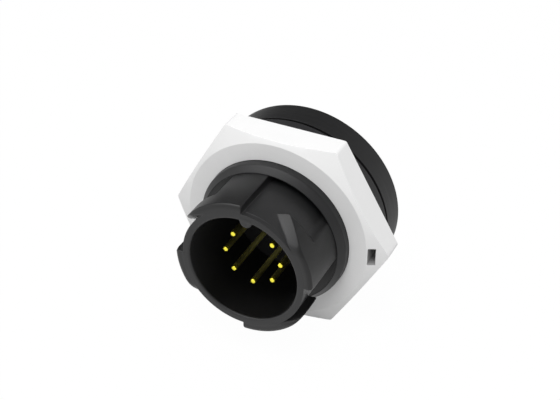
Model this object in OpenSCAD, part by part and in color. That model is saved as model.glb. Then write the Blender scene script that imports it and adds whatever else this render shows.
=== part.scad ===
// Waterproof circular panel connector: a keyed male shroud with four ramped bayonet lugs,
// a threaded barrel with a hex lock nut, and a sealed insert with seven contacts.
// The axis is Y, the mouth faces -Y, the key is on top, and y = 0 is the panel plane under the nut.

/* [Shroud] */
// Inner radius of the shroud
shroud_bore_r = 10.05; // [9:0.05:11]
// Wall of the shroud
shroud_wall = 1.35; // [1:0.05:1.8]
// Reach of the mouth in front of the panel plane
mouth_reach = 18.4; // [16:0.05:24]
// Reach of the contact floor in front of the panel plane
floor_reach = 2; // [1:0.1:3]
// Lead-in chamfer inside the mouth
rim_chamfer = 0.3; // [0.1:0.05:0.5]
// Radius of the half-round key inside the shroud
key_r = 1.1; // [0.8:0.05:1.4]
// Turn of the key away from the top
key_turn = 4.7; // [0:0.1:15]

/* [Bayonet lugs] */
// Height of a lug above the shroud
lug_h = 1.6; // [1:0.05:1.8]
// Length of a lug's ramped head behind the mouth
lug_head = 4.05; // [2.5:0.05:5]
// Angle that a side lug's rear block spans
side_span = 29.9; // [20:0.1:36]
// Angle that an end lug's rear block spans
end_span = 32.4; // [31:0.1:38]
// Angle from a lug's straight end to the start of its ramp
ramp_start = 40.2; // [38:0.1:50]
// Angle from a lug's straight end to the tip of its ramp
ramp_tip = 65.8; // [55:0.1:75]
// Tilt of the ramps' cut away from level
ramp_tilt = 14; // [0:0.5:20]
// Chamfer on the lugs' front edge
lug_chamfer = 0.5; // [0.2:0.05:0.6]

/* [Barrel and flange] */
// Wall of the barrel outside the grooves, at the thread's core
collar_wall = 1; // [0.9:0.05:2]
// Reach of the barrel's front in front of the panel plane
barrel_reach = 8.25; // [7:0.05:10]
// Depth of the two grooves between barrel and shroud
groove_depth = 4.25; // [3:0.05:5]
// Lead-in chamfer at the barrel's front
barrel_chamfer = 0.8; // [0.1:0.05:0.85]
// Width of the flange's ledge outside the barrel
flange_ledge = 3.75; // [3:0.05:6]
// Thickness of the flange
flange_t = 5.6; // [4.6:0.1:8]
// Chamfer on the flange's edges
flange_chamfer = 0.25; // [0.1:0.05:0.5]

/* [Lock nut] */
// Distance by which the nut's flats stand out past the flange
nut_over = 0.25; // [0:0.05:1]
// Thickness of the nut
nut_t = 5.75; // [4:0.05:6.5]
// Inset of the nut's flat front ring from its flats
nut_face_inset = 0.75; // [0.4:0.05:1]
// Slope of the nut's front chamfer
nut_chamfer_slope = 25; // [15:1:30]
// Clearance between the nut's bore and the barrel
nut_clear = 0.1; // [0.05:0.01:0.2]
// Width of the pocket near one corner
pocket_w = 1.25; // [0.8:0.05:1.6]
// Height of the pocket
pocket_h = 3.35; // [2:0.05:3.6]
// Depth of the pocket
pocket_depth = 4.2; // [2:0.1:4.5]
// Wall between the pocket and the flat front ring
pocket_offset = 0.25; // [0.1:0.05:0.5]

/* [Gasket] */
// Thickness of the panel gasket
gasket_t = 2.2; // [1.5:0.1:3]
// Overhang of the gasket past the flange
gasket_over = 0.15; // [0:0.05:0.25]
// Clearance between the gasket and the barrel
gasket_clear = 0.1; // [0.05:0.05:0.2]

/* [Contacts] */
// Radius of the circle that the contacts stand on
contact_circle_r = 5.235; // [5:0.005:6]
// Radius of a contact's pin
pin_r = 0.5; // [0.4:0.05:0.6]
// Radius of the dome on a pin's tip
nose_r = 0.65; // [0.62:0.01:0.9]
// Recess of the pin tips behind the mouth
tip_recess = 3.95; // [2:0.1:6]
// Radius of a contact's shank in the insert
shank_r = 0.75; // [0.7:0.01:0.8]
// Radius of a contact's shoulder
shoulder_r = 1.05; // [0.95:0.05:1.2]
// Thickness of a contact's shoulder
shoulder_t = 1.2; // [0.8:0.1:1.6]
// Outer radius of a solder cup
cup_r = 0.85; // [0.8:0.05:0.9]
// Bore radius of a solder cup
cup_bore_r = 0.6; // [0.4:0.05:0.65]
// Depth of a solder cup's bore
cup_depth = 3; // [2.5:0.1:3.2]
// Length over which a solder cup is cut open
cup_scoop = 1.8; // [1:0.1:2]
// Depth of the solder cups' ends behind the flange's rear face
cup_recess = 0.6; // [0.3:0.1:1]

/* [Inserts] */
// Step from the shroud's bore out to the bore that the inserts sit in
seat_step = 1.55; // [1.2:0.05:1.9]
// Clearance round the inserts
insert_clear = 0.05; // [0.03:0.01:0.08]
// Clearance round the contacts
contact_clear = 0.03; // [0.02:0.01:0.05]
// Thickness of the front insert
front_insert_t = 4.4; // [4:0.1:5]
// Thickness of the rear insert
rear_insert_t = 1; // [0.8:0.1:1.2]
// Cord radius of the insert seal
seal_r = 0.68; // [0.5:0.02:0.8]
// Clearance round the insert seal
seal_clear = 0.02; // [0.02:0.01:0.05]
// Distance of the seal's groove behind the front insert's face
seal_setback = 2; // [1.5:0.1:2.4]
// Thickness of the retaining ring
ring_t = 1.6; // [1:0.1:2]
// Wall of the retaining ring
ring_wall = 2.3; // [1.5:0.1:3]
// Width of the retaining ring's spanner slots
ring_slot_w = 1.6; // [1:0.1:2]
// Depth of the retaining ring's spanner slots
ring_slot_d = 0.8; // [0.5:0.1:0.9]

/* [Hidden] */
// Spare length by which a cut passes the face it cuts
over = 1;
// Places on the contact circle, of which the first, on top, stays empty
contact_places = 8;
// Fineness of drawn circles
$fn = 96;

shroud_r = shroud_bore_r + shroud_wall;
lug_r = shroud_r + lug_h;
barrel_r = lug_r + collar_wall;
flange_r = barrel_r + flange_ledge;
seat_r = shroud_bore_r + seat_step;
mouth_y = -mouth_reach;
head_y = mouth_y + lug_head;
barrel_y = -barrel_reach;
groove_y = barrel_y + groove_depth;
floor_y = -floor_reach;
flange_y = gasket_t;
rear_y = flange_y + flange_t;
key_y = floor_y;
front_insert_y = floor_y;
rear_insert_y = front_insert_y + front_insert_t;
ring_y = rear_insert_y + rear_insert_t;
insert_r = seat_r - insert_clear;
seal_groove_w = 2 * (seal_r + seal_clear);
seal_centre_r = seat_r - seal_clear - seal_r;
seal_floor_r = seal_centre_r - seal_r - seal_clear;
seal_y = front_insert_y + seal_setback + seal_groove_w / 2;
shoulder_y = rear_insert_y - shoulder_t;
tip_y = mouth_y + tip_recess;
cup_y = rear_y - cup_recess;
nut_flat_r = flange_r + nut_over;
nut_face_r = nut_flat_r - nut_face_inset;
nut_corner_r = nut_flat_r / cos(30);
nut_bore_r = barrel_r + nut_clear;

// Turns a profile of [radius, y] points about the Y axis
module turned(points) {
  rotate([-90, 0, 0])
    rotate_extrude()
      polygon([for (p = points) [p[0], p[1]]]);
}

// A cylinder about the Y axis from one place to another
module round_bar(r, from_y, to_y) {
  translate([0, from_y, 0])
    rotate([-90, 0, 0])
      cylinder(r = r, h = to_y - from_y);
}

// A prism of [y, z] points that runs across the part along X
module side_prism(points) {
  translate([-lug_r - over, 0, 0])
    rotate([90, 0, 90])
      linear_extrude(height = 2 * (lug_r + over))
        polygon(points);
}

// What is cut away of one quarter outside the shroud beside its lug. The quarter starts at low_z;
// start and tip are the ramp's levels on its tilted measure, and block_z is the top of the lug's rear block.
module lug_gap(low_z, floor_points, start, tip, block_z) {
  far = -lug_r - over;
  ahead_y = mouth_y - 2 * over;
  difference() {
    intersection() {
      turned(concat([[shroud_r, mouth_y - over], [lug_r + over, mouth_y - over], [lug_r + over, barrel_y]],
                    floor_points));
      translate([0, ahead_y, low_z])
        cube([lug_r + 2 * over, mouth_reach + 2 * over, lug_r + 2 * over]);
    }
    rotate([0, -ramp_tilt, 0])
      side_prism([[ahead_y, far], [ahead_y, start], [mouth_y, start], [head_y, tip], [head_y, far]]);
    side_prism([[ahead_y, far], [ahead_y, block_z], [groove_y + over, block_z], [groove_y + over, far]]);
  }
}

// The quarters above the side lugs, whose straight end is the level plane: down into a groove in the barrel
module side_gap() {
  lug_gap(0, [[lug_r, barrel_y], [lug_r, groove_y], [shroud_r, groove_y]],
          shroud_r * sin(ramp_start - ramp_tilt), shroud_r * sin(ramp_tip - ramp_tilt),
          lug_r * sin(side_span));
}

// The quarters beside the end lugs, whose straight end is the upright plane: down to the barrel's front
module end_gap() {
  lug_gap(-lug_r - 2 * over, [[shroud_r, barrel_y]],
          -shroud_r * cos(ramp_start - ramp_tilt), -shroud_r * cos(ramp_tip - ramp_tilt),
          -lug_r * cos(end_span));
}

// Half-round key along the inside of the shroud
module key_rib() {
  intersection() {
    rotate([0, key_turn, 0])
      translate([0, 0, shroud_bore_r])
        round_bar(key_r, mouth_y, key_y);
    round_bar(shroud_bore_r + shroud_wall / 2, mouth_y, key_y);
  }
}

module shell() {
  color([0.06, 0.06, 0.065]) {
    difference() {
      turned([[0, mouth_y], [lug_r - lug_chamfer, mouth_y], [lug_r, mouth_y + lug_chamfer],
              [lug_r, barrel_y], [barrel_r - barrel_chamfer, barrel_y], [barrel_r, barrel_y + barrel_chamfer],
              [barrel_r, flange_y], [flange_r - flange_chamfer, flange_y], [flange_r, flange_y + flange_chamfer],
              [flange_r, rear_y - flange_chamfer], [flange_r - flange_chamfer, rear_y], [0, rear_y]]);
      for (turn = [0, 180])
        rotate([0, turn, 0]) {
          side_gap();
          end_gap();
        }
      turned([[0, mouth_y - over], [shroud_bore_r + rim_chamfer + over, mouth_y - over],
              [shroud_bore_r, mouth_y + rim_chamfer], [shroud_bore_r, floor_y + over], [0, floor_y + over]]);
      round_bar(seat_r, floor_y, rear_y + over);
    }
    key_rib();
  }
}

module lock_nut() {
  cone_y = -nut_t + (nut_corner_r + over - nut_face_r) * tan(nut_chamfer_slope);
  color([0.93, 0.93, 0.92])
    difference() {
      intersection() {
        translate([0, -nut_t, 0])
          rotate([-90, 0, 0])
            cylinder(r = nut_corner_r, h = nut_t, $fn = 6);
        turned([[0, -nut_t], [nut_face_r, -nut_t], [nut_corner_r + over, cone_y], [nut_corner_r + over, over], [0, over]]);
      }
      round_bar(nut_bore_r, -nut_t - over, over);
      translate([nut_face_r + pocket_offset, -nut_t - over, -pocket_h / 2])
        cube([pocket_w, pocket_depth + over, pocket_h]);
    }
}

module panel_gasket() {
  color([0.07, 0.07, 0.075])
    difference() {
      round_bar(flange_r + gasket_over, 0, gasket_t);
      round_bar(barrel_r + gasket_clear, -over, gasket_t + over);
    }
}

// Places its children at each filled place of the contact circle
module at_contact(place) {
  rotate([0, 360 * place / contact_places, 0])
    translate([0, 0, contact_circle_r])
      children();
}

module front_insert() {
  color([0.05, 0.05, 0.055])
    difference() {
      round_bar(insert_r, front_insert_y, rear_insert_y);
      difference() {
        round_bar(insert_r + over, seal_y - seal_groove_w / 2, seal_y + seal_groove_w / 2);
        round_bar(seal_floor_r, seal_y - seal_groove_w, seal_y + seal_groove_w);
      }
      for (place = [1 : contact_places - 1])
        at_contact(place) {
          round_bar(shank_r + contact_clear, front_insert_y - over, rear_insert_y + over);
          round_bar(shoulder_r + contact_clear, shoulder_y, rear_insert_y + over);
        }
    }
}

module rear_insert() {
  color([0.05, 0.05, 0.055])
    difference() {
      round_bar(insert_r, rear_insert_y, ring_y);
      for (place = [1 : contact_places - 1])
        at_contact(place)
          round_bar(cup_r + contact_clear, rear_insert_y - over, ring_y + over);
    }
}

module insert_seal() {
  color([0.55, 0.2, 0.12])
    translate([0, seal_y, 0])
      rotate([-90, 0, 0])
        rotate_extrude()
          translate([seal_centre_r, 0])
            circle(r = seal_r);
}

module retaining_ring() {
  color([0.08, 0.08, 0.085])
    difference() {
      round_bar(insert_r, ring_y, ring_y + ring_t);
      round_bar(insert_r - ring_wall, ring_y - over, ring_y + ring_t + over);
      translate([-insert_r - over, ring_y + ring_t - ring_slot_d, -ring_slot_w / 2])
        cube([2 * (insert_r + over), ring_slot_d + over, ring_slot_w]);
    }
}

// One contact: domed pin, shank, shoulder, and a solder cup that is cut open on its outer side
module contact(place) {
  color([0.95, 0.78, 0.25])
    at_contact(place)
      difference() {
        union() {
          round_bar(pin_r, tip_y - over, rear_insert_y);
          round_bar(shank_r, front_insert_y, rear_insert_y);
          round_bar(shoulder_r, shoulder_y, rear_insert_y);
          round_bar(cup_r, shoulder_y, cup_y);
        }
        difference() {
          round_bar(pin_r + over, tip_y - 2 * over, tip_y + nose_r);
          translate([0, tip_y + nose_r, 0])
            sphere(r = nose_r);
        }
        round_bar(cup_bore_r, cup_y - cup_depth, cup_y + over);
        translate([-cup_r - over, cup_y - cup_scoop, 0])
          cube([2 * (cup_r + over), cup_scoop + over, cup_r + over]);
      }
}

shell();
lock_nut();
panel_gasket();
front_insert();
rear_insert();
insert_seal();
retaining_ring();
contact(1);  // contact_1
contact(2);  // contact_2
contact(3);  // contact_3
contact(4);  // contact_4
contact(5);  // contact_5
contact(6);  // contact_6
contact(7);  // contact_7
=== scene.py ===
"""Waterproof panel connector: shell, lock nut, gasket, inserts and contacts, dressed for a studio picture.

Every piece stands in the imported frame: the axis is Y, the mouth faces -Y and y = 0 is the panel plane. Sizes
are written in millimetres and become metres when a mesh is made.
"""

import logging
import math
from dataclasses import dataclass, field
from enum import Enum
from typing import Any, Callable, Sequence

import bmesh
import bpy
import numpy as np
from mathutils import Matrix, Quaternion, Vector


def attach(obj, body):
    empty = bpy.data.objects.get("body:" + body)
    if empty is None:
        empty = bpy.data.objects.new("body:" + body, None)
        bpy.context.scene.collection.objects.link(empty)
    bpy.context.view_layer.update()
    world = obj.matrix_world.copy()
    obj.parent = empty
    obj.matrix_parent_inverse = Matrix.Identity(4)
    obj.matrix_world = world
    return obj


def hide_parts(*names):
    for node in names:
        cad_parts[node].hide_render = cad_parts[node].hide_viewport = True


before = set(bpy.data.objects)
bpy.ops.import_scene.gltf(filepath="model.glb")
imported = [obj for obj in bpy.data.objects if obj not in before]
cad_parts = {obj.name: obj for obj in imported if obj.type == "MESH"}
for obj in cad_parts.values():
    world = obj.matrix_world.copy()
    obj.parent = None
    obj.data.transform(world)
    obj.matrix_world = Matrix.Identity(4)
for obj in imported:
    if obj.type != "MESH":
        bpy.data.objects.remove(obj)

LOG = logging.getLogger("connector")
MM = 0.001
Pair = tuple[float, float]
Triple = tuple[float, float, float]
WHITE = (1.0, 1.0, 1.0, 1.0)
# The most of a side that the rounding at one of its ends may take.
ROUNDING_SHARE = 0.49


class Body(Enum):
    """The two rigid bodies of the connector."""

    CONNECTOR = "connector"
    NUT = "nut"


class Slot(Enum):
    """The record's material slots, one named for each kind of piece in this script."""

    SHELL = "shell_plastic"
    NUT = "nut_plastic"
    GASKET = "gasket_rubber"
    INSERT = "insert_plastic"
    CONTACT = "contact_gold"


def operator(operation: str, swapped: bool = False) -> Callable[["Wire", Any], "Wire"]:
    """Makes one of a wire's operators.

    Args:
        operation: the Math node's operation.
        swapped: whether the operands change places, as in a reflected operator.

    Returns:
        The method.
    """
    def method(self: "Wire", other: Any) -> "Wire":
        """The result of one Math node on wires or numbers."""
        first, second = (other, self) if swapped else (self, other)
        return self.bench.node("ShaderNodeMath", {"operation": operation}, {0: first, 1: second})

    return method


class Wire:
    """A value socket of a node tree that takes part in plain arithmetic."""

    __add__, __radd__ = operator("ADD"), operator("ADD", True)
    __sub__, __rsub__ = operator("SUBTRACT"), operator("SUBTRACT", True)
    __mul__, __rmul__ = operator("MULTIPLY"), operator("MULTIPLY", True)
    __truediv__, __rtruediv__ = operator("DIVIDE"), operator("DIVIDE", True)

    def __init__(self, bench: "Bench", socket: bpy.types.NodeSocket) -> None:
        """Wraps one output socket of a bench's tree."""
        self.bench = bench
        self.socket = socket

    def clamped(self) -> "Wire":
        """The value held between 0 and 1."""
        return self.bench.node("ShaderNodeClamp", {}, {"Value": self})


class Bench:
    """A node tree of any kind."""

    def __init__(self, tree: bpy.types.NodeTree) -> None:
        """Keeps the tree."""
        self.tree = tree

    def feed(self, node: bpy.types.Node, inputs: dict[Any, Any]) -> None:
        """Fills a node's inputs.

        Args:
            node: the node.
            inputs: values or wires for its sockets, by name or number.
        """
        for key, value in inputs.items():
            if isinstance(value, Wire):
                self.tree.links.new(value.socket, node.inputs[key])
            else:
                node.inputs[key].default_value = value

    def node(self, kind: str, settings: dict[str, Any], inputs: dict[Any, Any], out: Any = 0) -> Wire:
        """Adds any node and wraps one of its outputs.

        Args:
            kind: the node's type name.
            settings: the node's own settings, set first.
            inputs: values or wires for its sockets.
            out: the output's name or number.

        Returns:
            The output as a wire.
        """
        node = self.tree.nodes.new(kind)
        for key, value in settings.items():
            setattr(node, key, value)
        self.feed(node, inputs)
        return Wire(self, node.outputs[out])


class ShaderBench(Bench):
    """A shader tree with its output in place."""

    def __init__(self, tree: bpy.types.NodeTree, output: str) -> None:
        """Clears a tree and adds its output node.

        Args:
            tree: the tree.
            output: the output node's type name.
        """
        super().__init__(tree)
        tree.nodes.clear()
        self.output = tree.nodes.new(output)

    def show(self, shader: Wire) -> None:
        """Sends a shader to the output."""
        self.feed(self.output, {"Surface": shader})

    def place(self, turn: Triple = (0.0, 0.0, 0.0), scale: Triple = (1.0, 1.0, 1.0)) -> Wire:
        """Object coordinates in millimetres, turned and stretched.

        Args:
            turn: Euler angles in radians.
            scale: stretch on each axis.

        Returns:
            The coordinate vector.
        """
        coords = self.node("ShaderNodeTexCoord", {}, {}, "Object")
        sockets = {"Vector": coords, "Rotation": turn, "Scale": tuple(s / MM for s in scale)}
        return self.node("ShaderNodeMapping", {"vector_type": "POINT"}, sockets)

    def part(self, vector: Wire, axis: int) -> Wire:
        """One component of a vector."""
        return self.node("ShaderNodeSeparateXYZ", {}, {0: vector}, axis)

    def reach(self) -> Wire:
        """Distance from the connector's axis in millimetres."""
        flat = self.place(scale=(1.0, 0.0, 1.0))
        return self.node("ShaderNodeVectorMath", {"operation": "LENGTH"}, {0: flat}, "Value")

    def noise(self, at: Wire, feature: float, detail: float = 2.0, roughness: float = 0.5) -> Wire:
        """Smooth noise about one half.

        Args:
            at: coordinates in millimetres.
            feature: size of a patch in millimetres.
            detail: octaves.
            roughness: weight of the finer octaves.

        Returns:
            The noise value.
        """
        sockets = {"Vector": at, "Scale": 1.0 / feature, "Detail": detail, "Roughness": roughness}
        return self.node("ShaderNodeTexNoise", {"noise_dimensions": "3D"}, sockets, "Fac")

    def tinted(self, color: Triple, tone: Wire) -> Wire:
        """A linear colour times a varying tone."""
        return self.node("ShaderNodeVectorMath", {"operation": "SCALE"}, {0: color, "Scale": tone}, "Vector")

    def blended(self, factor: Wire, first: Any, second: Any) -> Wire:
        """Mixes two colours; the factor is the second one's share."""
        return self.node("ShaderNodeMix", {"data_type": "RGBA"}, {0: factor, 6: first, 7: second}, 2)

    def mixed(self, factor: Wire, first: Any, second: Any) -> Wire:
        """Mixes two values; the factor is the second one's share."""
        return self.node("ShaderNodeMix", {"data_type": "FLOAT"}, {0: factor, 2: first, 3: second})

    def span(self, value: Wire, low: float, high: float, first: float, last: float,
             way: str = "SMOOTHSTEP") -> Wire:
        """Carries a value from one range to another.

        Args:
            value: the value.
            low: where the result is first.
            high: where the result is last.
            first: result at and below low.
            last: result at and above high.
            way: the Map Range node's interpolation.

        Returns:
            The new value.
        """
        sockets = {"Value": value, "From Min": low, "From Max": high, "To Min": first, "To Max": last}
        return self.node("ShaderNodeMapRange", {"clamp": True, "interpolation_type": way}, sockets)

    def edge(self, low: float, high: float) -> Wire:
        """Mask of the convex edges, from the pointiness where it starts to the one where it is full."""
        point = self.node("ShaderNodeNewGeometry", {}, {}, "Pointiness")
        return self.span(point, low, high, 0.0, 1.0, "LINEAR")

    def bump(self, height: Wire, depth_mm: float, strength: float = 0.5) -> Wire:
        """The normal of a surface with a fine relief."""
        sockets = {"Strength": strength, "Distance": depth_mm * MM, "Height": height}
        return self.node("ShaderNodeBump", {}, sockets, "Normal")

    def ray(self, kind: str) -> Wire:
        """1 for rays of that kind, else 0."""
        return self.node("ShaderNodeLightPath", {}, {}, f"Is {kind} Ray")

    def looked_at(self) -> Wire:
        """1 for rays that show a thing as it is: to the camera, in gloss or through clear matter."""
        return (self.ray("Camera") + self.ray("Glossy") + self.ray("Transmission")).clamped()


class MaterialBench(ShaderBench):
    """A material's shader tree with its surface shader."""

    def __init__(self, name: str) -> None:
        """Makes a material with a Principled shader.

        Args:
            name: the material's name.
        """
        self.material = bpy.data.materials.new(name)
        self.material.use_nodes = True
        super().__init__(self.material.node_tree, "ShaderNodeOutputMaterial")
        self.surface = self.node("ShaderNodeBsdfPrincipled", {}, {}, "BSDF")
        self.show(self.surface)

    def finish(self, inputs: dict[str, Any]) -> bpy.types.Material:
        """Sets the surface shader's sockets and gives the material."""
        self.feed(self.surface.socket.node, inputs)
        return self.material


class SkyBench(ShaderBench):
    """The world's shader tree."""

    def __init__(self, name: str) -> None:
        """Makes the scene's world.

        Args:
            name: the world's name.
        """
        world = bpy.data.worlds.new(name)
        bpy.context.scene.world = world
        world.use_nodes = True
        super().__init__(world.node_tree, "ShaderNodeOutputWorld")


@dataclass(frozen=True)
class MouldedPlastic:
    """Moulded plastic: spark-eroded grain, faint flow clouds, edges rubbed a little."""

    name: str
    color: Triple
    worn: Triple
    roughness: float
    specular: float = 0.5
    grain_mm: float = 0.16
    grain_depth_mm: float = 0.012
    cloud: float = 0.30
    cloud_mm: float = 6.0
    flow_mm: float = 1.6
    flow_turn: Triple = (0.0, 0.4, 0.3)
    flow_scale: Triple = (0.25, 1.0, 1.0)
    flow_share: float = 0.6
    grain_share: float = 0.5
    cloud_rough: float = 0.10
    grain_rough: float = 0.08
    rub_mm: float = 1.1
    rub_edge: Pair = (0.505, 0.58)
    rub_base: float = 0.4
    rub_share: float = 0.1
    rub_polish: float = 0.12

    def local(self, bench: ShaderBench, at: Wire, tone: Wire, rough: Wire) -> tuple[Wire, Wire]:
        """Tone and roughness with what changes from place to place, which is nothing on plain plastic."""
        return tone, rough

    def make(self) -> bpy.types.Material:
        """Builds the material.

        Returns:
            The material.
        """
        bench = MaterialBench(self.name)
        at = bench.place()
        cloud = bench.noise(at, self.cloud_mm, 3.0) - 0.5
        flow = bench.noise(bench.place(self.flow_turn, self.flow_scale), self.flow_mm) - 0.5
        relief = bench.noise(at, self.grain_mm, 2.0, 0.6)
        grain = relief - 0.5
        tone = 1.0 + (cloud + flow * self.flow_share + grain * self.grain_share) * self.cloud
        rough = self.roughness + cloud * self.cloud_rough + grain * self.grain_rough
        tone, rough = self.local(bench, at, tone, rough)
        patchy = self.rub_base + bench.noise(at, self.rub_mm, 3.0)
        rubbed = bench.edge(*self.rub_edge) * self.rub_share * patchy
        color = bench.blended(rubbed.clamped(), bench.tinted(self.color, tone), (*self.worn, 1.0))
        return bench.finish({"Specular IOR Level": self.specular, "IOR": 1.5, "Base Color": color,
                             "Roughness": rough - rubbed * self.rub_polish,
                             "Normal": bench.bump(relief, self.grain_depth_mm)})


@dataclass(frozen=True)
class ShroudPlastic(MouldedPlastic):
    """The shroud's plastic: painted shade darkens its lugs' outer faces, and its bore is rougher and carries
    painted shade low down and painted light high up.
    """

    bore_r: float = 10.1
    bore_blur: float = 0.1
    bore_heights: Pair = (-9.0, 5.0)
    bore_shade_tones: Pair = (0.15, 1.6)
    bore_rough: float = 1.2
    outside_tone: float = 1.02
    lug_reach: Pair = (11.5, 12.6)
    lug_shade_tone: float = 0.42

    def local(self, bench: ShaderBench, at: Wire, tone: Wire, rough: Wire) -> tuple[Wire, Wire]:
        """Tone and roughness of bore, shroud and lugs.

        Args:
            bench: the material's tree.
            at: coordinates in millimetres.
            tone: the plain plastic's tone.
            rough: its roughness.

        Returns:
            The new tone and roughness.
        """
        reach = bench.reach()
        outside = bench.span(reach, self.bore_r, self.bore_r + self.bore_blur, 0.0, 1.0)
        # painted shade low in the bore and painted light high up, set by height
        bore_shade = bench.span(bench.part(at, 2), *self.bore_heights, *self.bore_shade_tones)
        # painted shade on the lugs' outer faces
        lugs = bench.span(reach, *self.lug_reach, 1.0, self.lug_shade_tone)
        tone = tone * (bore_shade + outside * (self.outside_tone - bore_shade)) * lugs
        return tone, rough * (self.bore_rough - outside * (self.bore_rough - 1.0))


@dataclass(frozen=True)
class BarrelPlastic(MouldedPlastic):
    """The barrel's plastic: fine rings round the axis, and painted shade on the flange's rim."""

    streak: float = 0.9
    streak_mm: float = 0.5
    streak_scale: Triple = (0.03, 1.0, 0.03)
    streak_rough: float = 0.35
    flange_reach: Pair = (16.5, 17.5)
    flange_shade_tone: float = 0.75

    def local(self, bench: ShaderBench, at: Wire, tone: Wire, rough: Wire) -> tuple[Wire, Wire]:
        """Tone and roughness of the rings and the flange.

        Args:
            bench: the material's tree.
            at: coordinates in millimetres.
            tone: the plain plastic's tone.
            rough: its roughness.

        Returns:
            The new tone and roughness.
        """
        rings = bench.noise(bench.place(scale=self.streak_scale), self.streak_mm, 3.0) - 0.5
        # painted shade: the flange's rim is darkened
        flange = bench.span(bench.reach(), *self.flange_reach, 1.0, self.flange_shade_tone)
        return tone * (1.0 + rings * self.streak) * flange, rough + rings * (self.streak_rough * self.streak)


@dataclass(frozen=True)
class NutPlastic(MouldedPlastic):
    """The nut's plastic, with painted shade inside its pocket, darkest at the pocket's upper end."""

    pocket: tuple[Triple, Triple] = ((0.0, 0.0, 0.0), (0.0, 0.0, 0.0))
    pocket_shade_tones: Pair = (0.396, 0.36)
    blur: float = 0.05

    def local(self, bench: ShaderBench, at: Wire, tone: Wire, rough: Wire) -> tuple[Wire, Wire]:
        """Tone and roughness, with painted shade inside the pocket.

        Args:
            bench: the material's tree.
            at: coordinates in millimetres.
            tone: the plain plastic's tone.
            rough: its roughness.

        Returns:
            The new tone and roughness.
        """
        inside: Any = 1.0
        for axis, (low, high) in enumerate(zip(*self.pocket)):
            along = bench.part(at, axis)
            inside = inside * bench.span(along, low - self.blur, low + self.blur, 0.0, 1.0)
            inside = inside * bench.span(along, high - self.blur, high + self.blur, 1.0, 0.0)
        # painted shade: the pocket's inside is darkened, most at its upper end
        stain_and_shade = bench.span(bench.part(at, 2), self.pocket[0][2], self.pocket[1][2], *self.pocket_shade_tones)
        return tone * (1.0 - inside * (1.0 - stain_and_shade)), rough


@dataclass(frozen=True)
class MouldedRubber:
    """Matt rubber with a dull bloom and fine pitting."""

    name: str
    color: Triple
    bloom: Triple
    roughness: float
    specular: float = 0.4
    patch_mm: float = 3.5
    patch_rough: float = 0.2
    bloom_from: float = 0.42
    bloom_gain: float = 1.6
    bloom_most: float = 0.5
    pit_mm: float = 0.22
    pit_depth_mm: float = 0.03
    pit_tones: Pair = (0.85, 0.3)

    def make(self) -> bpy.types.Material:
        """Builds the material.

        Returns:
            The material.
        """
        bench = MaterialBench(self.name)
        at = bench.place()
        patch = bench.noise(at, self.patch_mm, 4.0, 0.6)
        pits = bench.noise(at, self.pit_mm)
        dusty = ((patch - self.bloom_from) * self.bloom_gain).clamped() * self.bloom_most
        base, gain = self.pit_tones
        color = bench.blended(dusty, bench.tinted(self.color, base + gain * pits), (*self.bloom, 1.0))
        return bench.finish({"Specular IOR Level": self.specular, "Base Color": color,
                             "Roughness": self.roughness + (patch - 0.5) * self.patch_rough,
                             "Normal": bench.bump(pits, self.pit_depth_mm)})


@dataclass(frozen=True)
class PlatedMetal:
    """Turned metal with a thin gold plating: bright nose, dull shaft painted lighter and made less metallic
    towards its root, fine rings and a soft stain.
    """

    name: str
    color: Triple
    deep: Triple
    dull: Triple
    roughness: float
    tip_y: float
    shaft: float = 10.5
    shaft_light_tones: Pair = (0.72, 0.35)
    shaft_rough: float = 0.04
    shaft_matt_share: float = 0.35
    nose: Pair = (0.3, 1.2)
    ring_mm: float = 0.3
    ring_scale: Triple = (0.05, 6.0, 0.05)
    ring_depth_mm: float = 0.006
    ring_strength: float = 0.06
    stain_mm: float = 0.9
    stain_from: float = 0.4
    stain_gain: float = 1.2
    stain_most: float = 0.25
    uneven: float = 0.06

    def make(self) -> bpy.types.Material:
        """Builds the material.

        Returns:
            The material.
        """
        bench = MaterialBench(self.name)
        at = bench.place()
        rings = bench.noise(bench.place(scale=self.ring_scale), self.ring_mm)
        stain_and_shade = bench.noise(at, self.stain_mm, 3.0)
        back = bench.part(at, 1) - self.tip_y
        dulled = bench.span(back, *self.nose, 0.0, 1.0)
        root = bench.span(back, 0.0, self.shaft, 0.0, 1.0)
        stained_and_shaded = ((stain_and_shade - self.stain_from) * self.stain_gain).clamped() * self.stain_most
        color = bench.blended(stained_and_shaded, (*self.color, 1.0), (*self.deep, 1.0))
        # painted light: the shaft's tone grows and its metallic share falls towards the root
        base, gain = self.shaft_light_tones
        color = bench.blended(dulled, color, bench.tinted(self.dull, base + root * gain))
        rough = self.roughness + (rings - 0.5) * self.uneven + (stain_and_shade - 0.5) * self.uneven
        return bench.finish({"Metallic": 1.0 - root * root * self.shaft_matt_share, "Base Color": color,
                             "Roughness": rough + dulled * self.shaft_rough,
                             "Normal": bench.bump(rings, self.ring_depth_mm, self.ring_strength)})


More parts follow.
